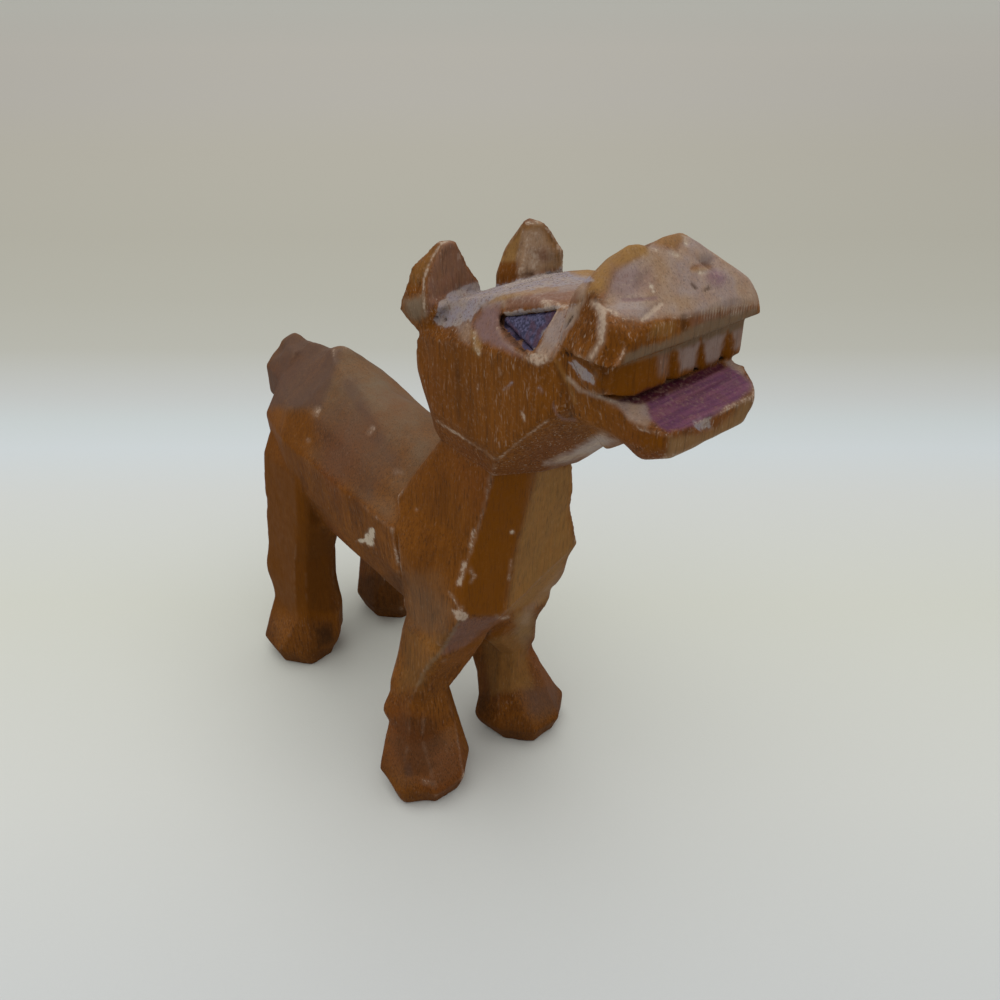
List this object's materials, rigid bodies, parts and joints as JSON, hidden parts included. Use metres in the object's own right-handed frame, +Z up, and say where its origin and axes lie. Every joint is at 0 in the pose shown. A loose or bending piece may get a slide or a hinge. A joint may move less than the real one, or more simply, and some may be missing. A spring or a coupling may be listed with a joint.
{
  "type": "wooden horse figurine",
  "caption": "Small whittled wooden horse ornament standing on four hooves, with knife-cut facets, pricked ears, raised head and an open mouth with notched upper teeth.",
  "frame": {"origin": "on the ground under the middle of the figure's bounding box", "axes": "+X towards the nose, +Y towards the animal's left, +Z up"},
  "size_m": [0.103, 0.038, 0.1061],
  "materials": {
    "stained_wood": "brown stain and wax over knife facets, worn pale on the edges",
    "peg_wood": "plain turned peg, glued in, not seen",
    "eye_paint": "blue-black paint on a recessed inlay"
  },
  "bodies": {
    "root": {"torso": "stained_wood", "tail": "stained_wood", "head": "stained_wood", "lower_jaw": "stained_wood", "right_ear": "stained_wood", "left_ear": "stained_wood", "front_right_leg": "stained_wood", "front_left_leg": "stained_wood", "hind_right_leg": "stained_wood", "hind_left_leg": "stained_wood", "neck_peg": "peg_wood", "tail_peg": "peg_wood", "right_jaw_peg": "peg_wood", "left_jaw_peg": "peg_wood", "front_right_leg_peg": "peg_wood", "front_left_leg_peg": "peg_wood", "hind_right_leg_peg": "peg_wood", "hind_left_leg_peg": "peg_wood", "right_eye": "eye_paint", "left_eye": "eye_paint"}
  },
  "joints": []
}
